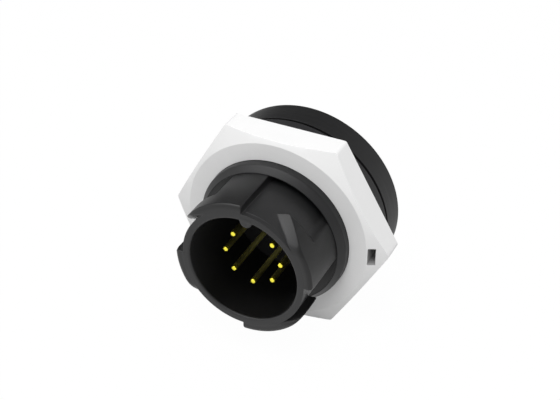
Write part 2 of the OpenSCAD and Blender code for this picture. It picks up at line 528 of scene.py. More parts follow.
class Finishes:
    """The connector's materials, made once."""

    def __init__(self) -> None:
        """Makes every material."""
        self.shell = ShroudPlastic(
            "shell_black", (0.0155, 0.0155, 0.0160), (0.026, 0.026, 0.027), 0.40, specular=0.36).make()
        self.barrel = BarrelPlastic(
            "barrel_black", (0.0120, 0.0120, 0.0125), (0.024, 0.024, 0.025), 0.44, specular=0.32).make()
        self.insert = MouldedPlastic(
            "insert_black", (0.011, 0.011, 0.0115), (0.02, 0.02, 0.021), 0.45, grain_mm=0.2,
            cloud=0.25).make()
        # the nut's pocket box carries painted shade
        self.nut = NutPlastic(
            "nut_white", (0.80, 0.80, 0.80), (0.86, 0.86, 0.86), 0.38, grain_mm=0.3, grain_depth_mm=0.004,
            cloud=0.035, pocket=LockNut().stained_and_shaded()).make()
        self.gasket = MouldedRubber("gasket_black", (0.012, 0.012, 0.013), (0.03, 0.03, 0.031), 0.55).make()
        self.seal = MouldedRubber("seal_brown", (0.16, 0.035, 0.018), (0.2, 0.06, 0.04), 0.5).make()
        self.gold = PlatedMetal(
            "contact_gold", (0.96, 0.86, 0.081), (0.79, 0.65, 0.055), (0.80, 0.74, 0.26), 0.36,
            Contacts.tip_y).make()


def placed(name: str, data: Any) -> bpy.types.Object:
    """Makes an object and links it to the scene.

    Args:
        name: the object's name.
        data: its mesh, camera or light.

    Returns:
        The object.
    """
    obj = bpy.data.objects.new(name, data)
    bpy.context.scene.collection.objects.link(obj)
    return obj


def piece_from(name: str, verts: np.ndarray, faces: np.ndarray, material: bpy.types.Material,
               normals: np.ndarray | None = None) -> bpy.types.Object:
    """Makes a smooth mesh object from points in millimetres.

    Args:
        name: the object's name.
        verts: points, one row each, in millimetres.
        faces: corner numbers, one row for each face.
        material: the piece's material.
        normals: a normal for each point, if they are known.

    Returns:
        The object, linked to the scene.
    """
    mesh = bpy.data.meshes.new(name)
    mesh.from_pydata((verts * MM).tolist(), [], faces.tolist())
    mesh.update()
    mesh.shade_smooth()
    if normals is not None:
        mesh.normals_split_custom_set_from_vertices(normals.tolist())
    mesh.materials.append(material)
    return placed(name, mesh)


def baked(obj: bpy.types.Object) -> bpy.types.Object:
    """Turns an object's modifiers into its mesh.

    Args:
        obj: the object.

    Returns:
        The same object, with a plain mesh and no modifiers.
    """
    graph = bpy.context.evaluated_depsgraph_get()
    graph.update()
    made = obj.evaluated_get(graph)
    mesh = bpy.data.meshes.new_from_object(made, preserve_all_data_layers=True, depsgraph=graph)
    old = obj.data
    obj.modifiers.clear()
    obj.data = mesh
    if old.users == 0:
        bpy.data.meshes.remove(old)
    mesh.name = obj.name
    return obj


def weighted(obj: bpy.types.Object, angle: float = 40.0) -> bpy.types.Object:
    """Gives a mesh normals that keep its flat faces flat.

    Args:
        obj: the object.
        angle: edges sharper than this, in degrees, stay sharp.

    Returns:
        The same object.
    """
    obj.data.shade_smooth()
    obj.data.set_sharp_from_angle(angle=math.radians(angle))
    even = obj.modifiers.new("even", "WEIGHTED_NORMAL")
    even.keep_sharp = True
    even.weight = 100
    return baked(obj)


def carved(obj: bpy.types.Object, cutter: bpy.types.Object) -> bpy.types.Object:
    """Cuts a closed mesh out of a piece and removes it.

    Args:
        obj: the piece.
        cutter: what is cut away.

    Returns:
        The piece.
    """
    cut = obj.modifiers.new("cut", "BOOLEAN")
    cut.operation = "DIFFERENCE"
    cut.solver = "EXACT"
    cut.object = cutter
    baked(obj)
    bpy.data.objects.remove(cutter)
    return obj


def block(low: Triple, high: Triple, soft: float) -> bpy.types.Object:
    """A cutter block with rounded edges.

    Args:
        low: lowest corner in millimetres.
        high: highest corner in millimetres.
        soft: radius of its edges in millimetres.

    Returns:
        The block.
    """
    net = bmesh.new()
    bmesh.ops.create_cube(net, size=1.0)
    for vert in net.verts:
        vert.co = Vector([(lo + (c + 0.5) * (hi - lo)) * MM for c, lo, hi in zip(vert.co, low, high)])
    bmesh.ops.bevel(net, geom=list(net.edges), offset=soft * MM, segments=3, profile=0.5, affect="EDGES")
    mesh = bpy.data.meshes.new("cutter")
    net.to_mesh(mesh)
    net.free()
    return placed("cutter", mesh)


def softened(points: Sequence[Pair], radii: Sequence[float], steps: int = 5) -> list[Pair]:
    """Rounds the corners of a closed outline.

    Args:
        points: the outline's corners.
        radii: the radius at each corner, 0 for a sharp one.
        steps: points on each rounding.

    Returns:
        The rounded outline.
    """
    out: list[Pair] = []
    corners = [np.array(point, float) for point in points]
    for i, (here, radius) in enumerate(zip(corners, radii)):
        if radius <= 0:
            out.append(tuple(here.tolist()))
            continue
        back, ahead = corners[i - 1] - here, corners[(i + 1) % len(corners)] - here
        reach_back, reach_ahead = np.linalg.norm(back), np.linalg.norm(ahead)
        back, ahead = back / reach_back, ahead / reach_ahead
        half = math.acos(max(-1.0, min(1.0, float(back @ ahead)))) / 2
        run = min(radius / math.tan(half), ROUNDING_SHARE * reach_back, ROUNDING_SHARE * reach_ahead)
        lift = run * math.tan(half) / math.sin(half)
        middle = here + (back + ahead) / np.linalg.norm(back + ahead) * lift
        first, last = here + back * run - middle, here + ahead * run - middle
        sweep = math.atan2(first[0] * last[1] - first[1] * last[0], float(first @ last))
        for turn in np.linspace(0.0, sweep, steps + 1):
            c, s = math.cos(turn), math.sin(turn)
            point = middle + np.array((c * first[0] - s * first[1], s * first[0] + c * first[1]))
            out.append(tuple(point.tolist()))
    return out


def spun(outline: Callable[[float], list[Pair]], segments: int) -> tuple[np.ndarray, np.ndarray]:
    """Sweeps a closed outline of (radius, y) round the axis; the outline may change with the angle.

    Args:
        outline: the outline at an angle, always with the same number of points.
        segments: steps round the axis.

    Returns:
        Points in millimetres, and quads that face outwards for an outline that runs with the solid on its
        left when y is drawn to the right and the radius upwards.
    """
    angles = np.arange(segments) * (2 * math.pi / segments)
    rows = np.array([outline(float(angle)) for angle in angles])
    r, y = rows[..., 0], rows[..., 1]
    verts = np.stack([r * np.sin(angles)[:, None], y, r * np.cos(angles)[:, None]], axis=-1)
    here = np.arange(r.size).reshape(r.shape)
    around, along = np.roll(here, -1, axis=0), np.roll(here, -1, axis=1)
    quads = np.stack([here, around, np.roll(around, -1, axis=1), along], axis=-1)
    return verts.reshape(-1, 3), quads.reshape(-1, 4)


def facing_out(obj: bpy.types.Object) -> bpy.types.Object:
    """Merges a closed mesh's doubles and turns its faces outwards.

    Args:
        obj: the object.

    Returns:
        The same object.
    """
    net = bmesh.new()
    net.from_mesh(obj.data)
    bmesh.ops.remove_doubles(net, verts=list(net.verts), dist=1e-7)
    bmesh.ops.recalc_face_normals(net, faces=list(net.faces))
    if net.calc_volume(signed=True) < 0:
        bmesh.ops.reverse_faces(net, faces=list(net.faces))
    net.to_mesh(obj.data)
    net.free()
    return obj


def turned(name: str, corners: Sequence[Pair], radii: Sequence[float], material: bpy.types.Material,
           segments: int = 240, steps: int = 5) -> bpy.types.Object:
    """A solid of revolution about the Y axis with rounded corners.

    Args:
        name: the object's name.
        corners: (radius, y) corners of its closed outline in millimetres.
        radii: rounding of each corner.
        material: its material.
        segments: steps round the axis.
        steps: points on each rounding.

    Returns:
        The object.
    """
    outline = softened(corners, radii, steps)
    verts, quads = spun(lambda angle: outline, segments)
    return weighted(facing_out(piece_from(name, verts, quads, material)))


def joined(piece: bpy.types.Object, body: Body, slot: Slot, *nodes: str) -> None:
    """Joins a finished piece to the frame and logs it.

    Args:
        piece: the piece.
        body: the body that it rides on.
        slot: the material slot meant for it; not used.
        nodes: the CAD nodes that it replaces.
    """
    if nodes:
        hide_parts(*nodes)
    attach(piece, body.value)
    LOG.info("%s: %d faces", piece.name, len(piece.data.polygons))


class PieceTree(Bench):
    """A Geometry Nodes tree with named inputs, which ends in a plain mesh."""

    def __init__(self, name: str, sockets: dict[str, str]) -> None:
        """Makes the tree's inputs and output.

        Args:
            name: the tree's name.
            sockets: the kind of each named input.
        """
        super().__init__(bpy.data.node_groups.new(name, "GeometryNodeTree"))
        face = self.tree.interface
        face.new_socket("Geometry", in_out="INPUT", socket_type="NodeSocketGeometry")
        self.keys = {key: face.new_socket(key, in_out="INPUT", socket_type=f"NodeSocket{kind}").identifier
                     for key, kind in sockets.items()}
        face.new_socket("Geometry", in_out="OUTPUT", socket_type="NodeSocketGeometry")
        self.source = self.tree.nodes.new("NodeGroupInput")

    def given(self, key: str) -> Wire:
        """The tree's input of that name."""
        return Wire(self, self.source.outputs[key])

    def vector(self, axis: str, value: Wire) -> Wire:
        """A vector along one axis."""
        return self.node("ShaderNodeCombineXYZ", {}, {axis: value})

    def close(self, made: Wire, material: bpy.types.Material) -> None:
        """Ends the tree with real instances and the material.

        Args:
            made: the geometry.
            material: its material.
        """
        real = self.node("GeometryNodeRealizeInstances", {}, {"Geometry": made})
        worn = self.node("GeometryNodeSetMaterial", {}, {"Geometry": real, "Material": material})
        self.feed(self.tree.nodes.new("NodeGroupOutput"), {"Geometry": worn})

    def applied(self, obj: bpy.types.Object, sizes: dict[str, float]) -> bpy.types.Object:
        """Runs the tree on an object and makes the result its plain mesh.

        Args:
            obj: the object.
            sizes: the tree's inputs by name.

        Returns:
            The same object.
        """
        run = obj.modifiers.new("tree", "NODES")
        run.node_group = self.tree
        for key, value in sizes.items():
            run[self.keys[key]] = value
        return baked(obj)


@dataclass(frozen=True)
class Thread:
    """Sizes of one thread; an inward one points at the axis, as in a nut."""

    radius: float
    turns: float
    start_y: float
    root: float
    inward: bool
    pitch: float = 1.5
    height: float = 0.78
    crest: float = 0.32
    steps: int = 120


class ThreadTree(PieceTree):
    """Geometry Nodes that sweep a trapezoid ridge along a helix about the Y axis."""

    def __init__(self, name: str, material: bpy.types.Material) -> None:
        """Builds the tree with its named inputs.

        Args:
            name: the tree's name.
            material: the material that its mesh wears.
        """
        sizes = ("Radius", "Pitch", "Turns", "Start", "Ridge height", "Ridge root", "Ridge crest",
                 "Profile turn")
        super().__init__(name, {**{key: "Float" for key in sizes}, "Steps a turn": "Int"})
        turns, radius = self.given("Turns"), self.given("Radius")
        helix = self.node("GeometryNodeCurveSpiral", {}, {
            "Resolution": self.given("Steps a turn"), "Rotations": turns, "Start Radius": radius,
            "End Radius": radius, "Height": self.given("Pitch") * turns})
        upright = self.node("GeometryNodeSetCurveNormal", {"mode": "Z_UP"}, {"Curve": helix})
        ridge = self.node("GeometryNodeCurvePrimitiveQuadrilateral", {"mode": "TRAPEZOID"}, {
            "Height": self.given("Ridge height"), "Bottom Width": self.given("Ridge root"),
            "Top Width": self.given("Ridge crest"), "Offset": 0.0})
        facing = self.node("GeometryNodeTransform", {}, {
            "Geometry": ridge, "Rotation": self.vector("Z", self.given("Profile turn"))})
        swept = self.node("GeometryNodeCurveToMesh", {}, {
            "Curve": upright, "Profile Curve": facing, "Fill Caps": True})
        laid = self.node("GeometryNodeTransform", {}, {
            "Geometry": swept, "Rotation": (-math.pi / 2, 0.0, 0.0),
            "Translation": self.vector("Y", self.given("Start"))})
        self.close(laid, material)

    def cut(self, name: str, thread: Thread) -> bpy.types.Object:
        """Makes one thread as a plain mesh.

        Args:
            name: the object's name.
            thread: its sizes.

        Returns:
            The object.
        """
        quarter = math.pi / 2
        obj = self.applied(placed(name, bpy.data.meshes.new(name)), {
            "Radius": thread.radius * MM, "Pitch": thread.pitch * MM, "Turns": thread.turns,
            "Start": thread.start_y * MM, "Ridge height": thread.height * MM, "Ridge root": thread.root * MM,
            "Ridge crest": thread.crest * MM, "Profile turn": -quarter if thread.inward else quarter,
            "Steps a turn": thread.steps})
        return weighted(facing_out(obj), angle=60.0)


class ContactRingTree(PieceTree):
    """Geometry Nodes that set one contact at each filled place of the contact circle."""

    def __init__(self, name: str, material: bpy.types.Material) -> None:
        """Builds the tree with its named inputs.

        Args:
            name: the tree's name.
            material: the material that its mesh wears.
        """
        super().__init__(name, {"Places": "Int", "Circle radius": "Float"})
        places = self.given("Places")
        row = self.node("GeometryNodeMeshLine", {"mode": "OFFSET"}, {
            "Count": places, "Offset": (0.0, 0.0, 0.0)})
        index = self.node("GeometryNodeInputIndex", {}, {})
        filled = self.node("FunctionNodeCompare", {"data_type": "INT", "operation": "GREATER_THAN"},
                           {2: index})
        contact = self.node("GeometryNodeTransform", {}, {
            "Geometry": self.given("Geometry"),
            "Translation": self.vector("Z", self.given("Circle radius"))})
        ring = self.node("GeometryNodeInstanceOnPoints", {}, {
            "Points": row, "Selection": filled, "Instance": contact,
            "Rotation": self.vector("Y", index / places * (2 * math.pi))})
        self.close(ring, material)

    def spread(self, obj: bpy.types.Object, places: int, radius: float) -> bpy.types.Object:
        """Repeats a contact from the axis round a circle in millimetres, leaving the first place empty."""
        return self.applied(obj, {"Places": places, "Circle radius": radius * MM})


def smooth_max(a: np.ndarray, b: np.ndarray, soft: float | np.ndarray) -> np.ndarray:
    """The larger of two fields, rounded where they meet.

    Args:
        a: first field.
        b: second field.
        soft: size of the rounding in millimetres.

    Returns:
        The blended field.
    """
    share = np.clip(0.5 + 0.5 * (a - b) / soft, 0.0, 1.0)
    return b + (a - b) * share + soft * share * (1.0 - share)


def smooth_min(a: np.ndarray, b: np.ndarray, soft: float) -> np.ndarray:
    """The smaller of two fields, filleted where they meet."""
    return -smooth_max(-a, -b, soft)


@dataclass
class FieldNet:
    """The zero surface of a field on a grid round the axis, with one point in each crossed cell.

    The point is set where the tangent planes at the cell's crossings meet, so flat faces stay flat and edges
    crisp. The field is negative inside and is called with x, y and z in millimetres.
    """

    solid: Callable[..., np.ndarray]
    turns: int
    along: np.ndarray
    out: np.ndarray
    pull: float = 0.03
    leash: float = 0.2

    def spots(self, cell: np.ndarray) -> np.ndarray:
        """Turns grid places into points.

        Args:
            cell: steps round, along and out, which may lie between the grid's lines.

        Returns:
            Points in millimetres.
        """
        phi = cell[..., 0] * (2 * math.pi / self.turns)
        y = np.interp(cell[..., 1], np.arange(len(self.along)), self.along)
        r = np.interp(cell[..., 2], np.arange(len(self.out)), self.out)
        return np.stack([r * np.sin(phi), y, r * np.cos(phi)], axis=-1)

    def normals(self, at: np.ndarray, step: float = 1e-3) -> np.ndarray:
        """Outward unit normals of the field.

        Args:
            at: points in millimetres, one row each.
            step: half the distance over which the field is compared.

        Returns:
            One unit vector for each point.
        """
        ways = np.eye(3) * step
        slope = np.stack([self.solid(*(at + d).T) - self.solid(*(at - d).T) for d in ways], axis=1)
        return slope / np.maximum(np.linalg.norm(slope, axis=1, keepdims=True), 1e-9)

    def _points(self, values: np.ndarray, cells: np.ndarray, corners: np.ndarray) -> np.ndarray:
        """Sets one point in each crossed cell.

        Args:
            values: the field on the grid, with the first turn repeated at the end.
            cells: the crossed cells.
            corners: the eight corners of a cell.

        Returns:
            Points in millimetres.
        """
        got = [values[tuple((cells + corner).T)] for corner in corners]
        middle, hits = np.zeros((len(cells), 3)), np.zeros((len(cells), 1))
        planes, reach = np.zeros((len(cells), 3, 3)), np.zeros((len(cells), 3))
        for i, j in ((i, i | axis) for i in range(8) for axis in (4, 2, 1) if not i & axis):
            crossed = np.flatnonzero((got[i] < 0) != (got[j] < 0))
            a, b = got[i][crossed], got[j][crossed]
            share = (a / (a - b))[:, None]
            at = self.spots(cells[crossed] + corners[i] + share * (corners[j] - corners[i]))
            normal = self.normals(at)
            middle[crossed] += at
            hits[crossed] += 1
            planes[crossed] += normal[:, :, None] * normal[:, None, :]
            reach[crossed] += normal * (normal * at).sum(axis=1, keepdims=True)
        middle /= hits
        rest = reach[:, :, None] - planes @ middle[:, :, None]
        shift = np.linalg.solve(planes + self.pull * np.eye(3), rest)[:, :, 0]
        size = np.linalg.norm(shift, axis=1, keepdims=True)
        return middle + shift * np.minimum(1.0, self.leash / np.maximum(size, 1e-9))

    def _quads(self, inside: np.ndarray, number: np.ndarray) -> np.ndarray:
        """Joins the points of the four cells round each crossed grid line.

        Args:
            inside: whether each grid place is inside.
            number: the point's number in each cell, or -1.

        Returns:
            Quads of point numbers that face outwards.
        """
        rings = []
        for axis, (u, v) in enumerate(((1, 2), (2, 0), (0, 1))):
            here, ahead = inside, np.roll(inside, -1, axis=axis)
            if axis:
                span = range(inside.shape[axis] - 1)
                here, ahead = np.take(here, span, axis=axis), np.take(ahead, span, axis=axis)
            for leaving in (True, False):
                edges = np.argwhere(here & ~ahead if leaving else ~here & ahead)
                ring = []
                for du, dv in ((-1, -1), (0, -1), (0, 0), (-1, 0)):
                    cell = edges.copy()
                    cell[:, u] += du
                    cell[:, v] += dv
                    cell[:, 0] %= self.turns
                    ring.append(number[tuple(cell.T)])
                ring = np.stack(ring, axis=1)
                ring = ring[(ring >= 0).all(axis=1)]
                rings.append(ring if leaving else ring[:, ::-1])
        return np.concatenate(rings)

    def build(self) -> tuple[np.ndarray, np.ndarray]:
        """Finds the surface.

        Returns:
            Points in millimetres and quads of point numbers.
        """
        size = (self.turns, len(self.along), len(self.out))
        grid = np.stack(np.meshgrid(*(np.arange(n) for n in size), indexing="ij"), axis=-1)
        values = self.solid(*np.moveaxis(self.spots(grid), -1, 0))
        around = np.concatenate([values, values[:1]])
        corners = np.array([(a, b, c) for a in (0, 1) for b in (0, 1) for c in (0, 1)])
        inside = sum((around[a:a + size[0], b:b + size[1] - 1, c:c + size[2] - 1] < 0).astype(np.int8)
                     for a, b, c in corners)
        cells = np.argwhere((inside > 0) & (inside < len(corners)))
        number = np.full(size, -1)
        number[tuple(cells.T)] = np.arange(len(cells))
        return self._points(around, cells, corners), self._quads(values < 0, number)


@dataclass(frozen=True)
class LugShape:
    """What sets one pair of lugs apart: lean of the head's rear face, and roundings in millimetres."""

    lean: float
    ramp_edge: float
    block_edge: float
    join: float


@dataclass
class Shell:
    """The black moulding: flange, barrel, and the shroud with its four ramped bayonet lugs.

    A name in _r is a radius, in _y a place on the axis and in _row a step of the shroud's grid; spans, turns
    and the ramps' start, tip and tilt are angles in degrees.
    """

    bore_r: float = 10.05
    shroud_r: float = 11.4
    lug_r: float = 12.86
    barrel_r: float = 14.0
    seat_r: float = 11.6
    flange_r: float = 17.75
    flange_lip: float = 1.8
    flange_step: float = 0.5
    mouth_y: float = -18.36
    head_y: float = -14.35
    barrel_y: float = -8.25
    lead_in: float = 1.0
    groove_y: float = -4.0
    floor_y: float = -2.0
    flange_y: float = 2.2
    rear_y: float = 7.8
    key_r: float = 1.1
    key_turn: float = 4.7
    key_sink: float = 0.6
    key_edge: float = 0.25
    key_foot: float = 0.2
    side_span: float = 30.7
    end_span: float = 32.0
    ramp_start: float = 40.3
    ramp_tip: float = 66.3
    ramp_tilt: float = 14.0
    foot_turns: Triple = (39.3, 36.5, -9.2)
    crest_turns: Pair = (32.6, 24.2)
    ramp_scale: float = 0.51
    ramp_past: float = 0.3
    side_lug: LugShape = LugShape(lean=0.2, ramp_edge=0.6, block_edge=0.6, join=0.25)
    end_lug: LugShape = LugShape(lean=-0.1, ramp_edge=0.45, block_edge=0.0, join=0.08)
    edge: float = 0.14
    front_edge: float = 1.0
    front_gain: float = 5.0
    back_edge: float = 0.08
    bore_edge: float = 0.5
    foot: float = 0.06
    block_foot: float = 0.4
    block_rise: float = 0.15
    block_set: float = 1.0
    under: float = 0.02
    wall: float = 0.4
    grid_turns: int = 521
    grid_r: Pair = (8.63, 0.11)
    grid_lead: float = 0.29
    grid_past: float = 0.3
    grid_floor: float = 1.0
    head_row: float = 0.12
    middle_row: float = 0.6
    step_row: float = 0.1
    step_ends: Pair = (-0.15, 0.2)
    rear_row: float = 0.8
    thread: Thread = Thread(radius=14.33, turns=2.9, start_y=-5.0, root=1.3, inward=False)
    pieces: list[bpy.types.Object] = field(default_factory=list)

    def _lug(self, along: np.ndarray, ramp: np.ndarray, block: np.ndarray, above: np.ndarray,
             shape: LugShape) -> np.ndarray:
        """Field of one lug before it is trimmed to its quarter and its outer radius.

        Args:
            along: y values.
            ramp: the ramp face's own field.
            block: the rear block's side as a field.
            above: distance above the shroud's surface.
            shape: the lug's own measures.

        Returns:
            The field, negative inside.
        """
        back = (along - self.head_y - shape.lean * above) / math.hypot(1.0, shape.lean)
        head = smooth_max(smooth_max(ramp, self.mouth_y - along, shape.ramp_edge), back, self.back_edge)
        if shape.block_edge:
            top = above - (self.lug_r - self.shroud_r) - self.block_rise
            block = smooth_max(block, top, shape.block_edge)
        block = np.maximum(smooth_min(block, above, self.block_foot), self.mouth_y + self.block_set - along)
        return smooth_min(head, block, shape.join)

    def _side_ramp(self, along: np.ndarray, turn: np.ndarray, radius: np.ndarray) -> np.ndarray:
        """Field of a side lug's ramp, a twisted face that steepens towards the mouth.

        Its foot lies on the shroud and its crest on the lugs' radius. The scale makes the field grow about
        as fast as the distance from the face.

        Args:
            along: y values.
            turn: angle from the x axis in degrees.
            radius: distance from the axis.

        Returns:
            The field, negative inside.
        """
        run = (along - self.mouth_y) / (self.head_y - self.mouth_y)
        foot = self.foot_turns[0] + self.foot_turns[1] * run + self.foot_turns[2] * run ** 2
        crest = self.crest_turns[0] + self.crest_turns[1] * run
        share = (radius - self.shroud_r) / (self.lug_r - self.shroud_r)
        share = np.clip(share, -self.ramp_past, 1.0 + self.ramp_past)
        return self.ramp_scale * radius * np.radians(turn - foot - share * (crest - foot))

    def _end_ramp(self, along: np.ndarray, level: np.ndarray) -> np.ndarray:
        """Field of an end lug's ramp, a plane.

        Args:
            along: y values.
            level: height on the ramps' tilted measure.

        Returns:
            The field, negative inside.
        """
        low, high = (-self.shroud_r * math.cos(math.radians(turn - self.ramp_tilt))
                     for turn in (self.ramp_start, self.ramp_tip))
        run, rise = self.head_y - self.mouth_y, high - low
        return ((level - low) * run - (along - self.mouth_y) * rise) / math.hypot(run, rise)

    def _lugs(self, x: np.ndarray, y: np.ndarray, z: np.ndarray,
              radius: np.ndarray) -> tuple[np.ndarray, np.ndarray]:
        """Field of the four lugs, and of the quarters that are filled out behind the barrel's front.

        Args:
            x: points' x in millimetres.
            y: points' y.
            z: points' z.
            radius: points' distance from the axis.

        Returns:
            The field of the lugs and the field of the fill, negative inside.
        """
        above = radius - self.shroud_r
        side_rear = self.lug_r * math.sin(math.radians(self.side_span))
        end_rear = -self.lug_r * math.cos(math.radians(self.end_span))
        tilt = math.radians(self.ramp_tilt)
        lugs = np.full_like(radius, np.inf)
        fill = np.full_like(radius, np.inf)
        for turn in (1.0, -1.0):
            across, up = x * turn, z * turn
            level = up * math.cos(tilt) - across * math.sin(tilt)
            ramp = self._side_ramp(y, np.degrees(np.arctan2(up, across)), radius)
            side = self._lug(y, ramp, up - side_rear, above, self.side_lug)
            side = np.maximum(smooth_max(side, -up, self.edge), -across)
            end = self._lug(y, self._end_ramp(y, level), up - end_rear, above, self.end_lug)
            end = np.maximum(smooth_max(end, -across, self.edge), up)
            lugs = np.minimum(lugs, np.minimum(side, end))
            fill = np.minimum(fill, np.maximum(-across, up))
        near_front = np.clip(1 + (self.mouth_y - y) / self.front_edge, 0.0, 1.0)
        lugs = smooth_max(lugs, radius - self.lug_r, self.edge * (1 + self.front_gain * near_front))
        fill = np.maximum(np.maximum(fill, self.barrel_y - y), radius - self.lug_r + self.under)
        return lugs, fill

    def solid(self, x: np.ndarray, y: np.ndarray, z: np.ndarray) -> np.ndarray:
        """Signed field of the shroud with lugs, bore and key, negative inside.

        Args:
            x: points' x in millimetres.
            y: points' y.
            z: points' z.

        Returns:
            The field's value at each point.
        """
        radius = np.hypot(x, z)
        front = self.mouth_y - y
        shroud = smooth_max(radius - self.shroud_r, front, 0.5 * self.edge)
        lugs, fill = self._lugs(x, y, z, radius)
        solid = smooth_min(smooth_min(shroud, lugs, self.foot), fill, self.foot)
        solid = smooth_max(solid, self.bore_r - radius, self.bore_edge)
        turn = math.radians(self.key_turn)
        off_key = np.hypot(x - self.bore_r * math.sin(turn), z - self.bore_r * math.cos(turn))
        key = smooth_max(off_key - self.key_r, front, self.key_edge)
        key = np.maximum(key, radius - (self.bore_r + self.key_sink))
        return np.maximum(smooth_min(solid, key, self.key_foot), y - self.floor_y)

    def _shroud(self, material: bpy.types.Material) -> bpy.types.Object:
        """Makes the shroud from its field, on a grid that is finest at the lugs' heads.

        Args:
            material: its material.

        Returns:
            The shroud.
        """
        head = np.arange(self.mouth_y - self.grid_lead, self.head_y + self.grid_past, self.head_row)
        half = self.middle_row / 2
        middle = np.arange(head[-1] + half, self.barrel_y - half, self.middle_row)
        step = np.arange(*(self.barrel_y + end for end in self.step_ends), self.step_row)
        rest = np.arange(step[-1] + self.rear_row / 2, self.floor_y + self.grid_floor, self.rear_row)
        first_r, step_r = self.grid_r
        net = FieldNet(self.solid, self.grid_turns, np.concatenate([head, middle, step, rest]),
                       np.arange(first_r, self.lug_r + self.grid_past, step_r))
        verts, quads = net.build()
        return piece_from("shell_shroud", verts, quads, material, net.normals(verts))

    def build(self, looks: Finishes) -> None:
        """Makes the moulding's meshes.

        Args:
            looks: the materials.
        """
        inner, collar = self.shroud_r - self.wall, self.lug_r - self.under
        lip_r, lip_y = self.flange_r - self.flange_lip, self.flange_y + self.flange_step
        rounded = [((inner, self.groove_y), 0.0),
                   ((collar, self.groove_y), 0.1),
                   ((collar, self.barrel_y), 0.05),
                   ((self.barrel_r - self.lead_in, self.barrel_y), 0.1),
                   ((self.barrel_r, self.barrel_y + self.lead_in), 0.8),
                   ((self.barrel_r, self.flange_y), 0.1),
                   ((lip_r, self.flange_y), 0.0),
                   ((lip_r, lip_y), 0.0),
                   ((self.flange_r, lip_y), 0.06),
                   ((self.flange_r, self.rear_y), 0.15),
                   ((self.seat_r, self.rear_y), 0.25),
                   ((self.seat_r, self.floor_y), 0.0),
                   ((inner, self.floor_y), 0.0)]
        self.pieces.append(self._shroud(looks.shell))
        self.pieces.append(turned("shell_barrel", *zip(*rounded), looks.barrel, segments=288))
        self.pieces.append(ThreadTree("barrel_thread_tree", looks.shell).cut("barrel_thread", self.thread))

    def dress(self) -> None:
        """Joins the pieces to the frame; the shroud replaces the CAD shell."""
        for piece, nodes in zip(self.pieces, (("shell",), (), ())):
            joined(piece, Body.CONNECTOR, Slot.SHELL, *nodes)


@dataclass
class LockNut:
    """The white hex nut: flat ring, cone chamfer to the corners, one blind pocket and a thread."""

    flat_r: float = 18.0
    face_r: float = 17.25
    land_r: float = 14.03
    root_r: float = 14.95
    thick: float = 5.75
    slope: float = 25.0
    corner: float = 0.4
    rear_flare: Pair = (0.25, 0.3)
    land_ends: Pair = (0.55, 1.1)
    edges: tuple[float, ...] = (0.06, 0.12, 0.1, 0.08, 0.05, 0.05, 0.05, 0.05)
    pocket: Triple = (1.25, 3.35, 4.2)
    pocket_offset: float = 0.12
    pocket_drop: float = 0.08
    pocket_edge: float = 0.12
    pocket_past: float = 1.0
    # the box of painted shade is a little wider and higher than the pocket and starts a little behind the
    # nut's face
    shade_out: float = 0.05
    shade_back: float = 0.15
    thread: Thread = Thread(radius=14.6, turns=2.4, start_y=-4.25, root=1.25, inward=True)
    pieces: list[bpy.types.Object] = field(default_factory=list)

    def pocket_box(self, grown: float = 0.0) -> tuple[Triple, Triple]:
        """Lowest and highest corner of the pocket from the nut's face to its floor.

        Args:
            grown: how much wider and higher the box is on each side, in millimetres.

        Returns:
            Both corners in millimetres.
        """
        wide, high, deep = self.pocket
        low_x, low_z = self.face_r + self.pocket_offset, -high / 2 - self.pocket_drop
        return ((low_x - grown, -self.thick, low_z - grown),
                (low_x + wide + grown, -self.thick + deep, low_z + high + grown))

    def stained_and_shaded(self) -> tuple[Triple, Triple]:
        """Lowest and highest corner of the pocket's inside that carries painted shade, in millimetres."""
        return tuple((x, y + self.shade_back, z) for x, y, z in self.pocket_box(self.shade_out))

    def hex_radius(self, angle: float) -> float:
        """Outline of the hexagon with rounded corners.

        Args:
            angle: angle from the top, in radians; the flats are at top and bottom.

        Returns:
            The radius at that angle.
        """
        sixth = math.pi / 6
        off = (angle + sixth) % (2 * sixth) - sixth
        from_corner = sixth - abs(off)
        centre = (self.flat_r - self.corner) / math.cos(sixth)
        end = math.atan2(self.corner * math.sin(sixth), centre + self.corner * math.cos(sixth))
        if from_corner > end:
            return self.flat_r / math.cos(off)
        across = centre * math.sin(from_corner)
        return centre * math.cos(from_corner) + math.sqrt(max(self.corner ** 2 - across ** 2, 0.0))

    def outline(self, angle: float) -> list[Pair]:
        """The nut's section at an angle.

        Args:
            angle: angle from the top, in radians.

        Returns:
            Points of (radius, y) in millimetres.
        """
        front = -self.thick
        outer = self.hex_radius(angle)
        edge_y = front + (outer - self.face_r) * math.tan(math.radians(self.slope))
        flare_r, flare_y = self.rear_flare
        land_back, root_front = (front + end for end in self.land_ends)
        corners = [(self.land_r, front), (self.face_r, front), (outer, edge_y), (outer, 0.0),
                   (self.root_r + flare_r, 0.0), (self.root_r, -flare_y), (self.root_r, root_front),
                   (self.land_r, land_back)]
        return softened(corners, self.edges, steps=4)

    def build(self, looks: Finishes) -> None:
        """Makes the nut's meshes.

        Args:
            looks: the materials.
        """
        verts, quads = spun(self.outline, segments=360)
        nut = facing_out(piece_from("lock_nut_body", verts, quads, looks.nut))
        low, high = self.pocket_box()
        cutter = block((low[0], low[1] - self.pocket_past, low[2]), high, self.pocket_edge)
        self.pieces.append(weighted(carved(nut, cutter), angle=50.0))
        self.pieces.append(ThreadTree("nut_thread_tree", looks.nut).cut("lock_nut_thread", self.thread))

    def dress(self) -> None:
        """Joins the pieces to the frame; the body replaces the CAD nut."""
        for piece, nodes in zip(self.pieces, (("lock_nut",), ())):
            joined(piece, Body.NUT, Slot.NUT, *nodes)


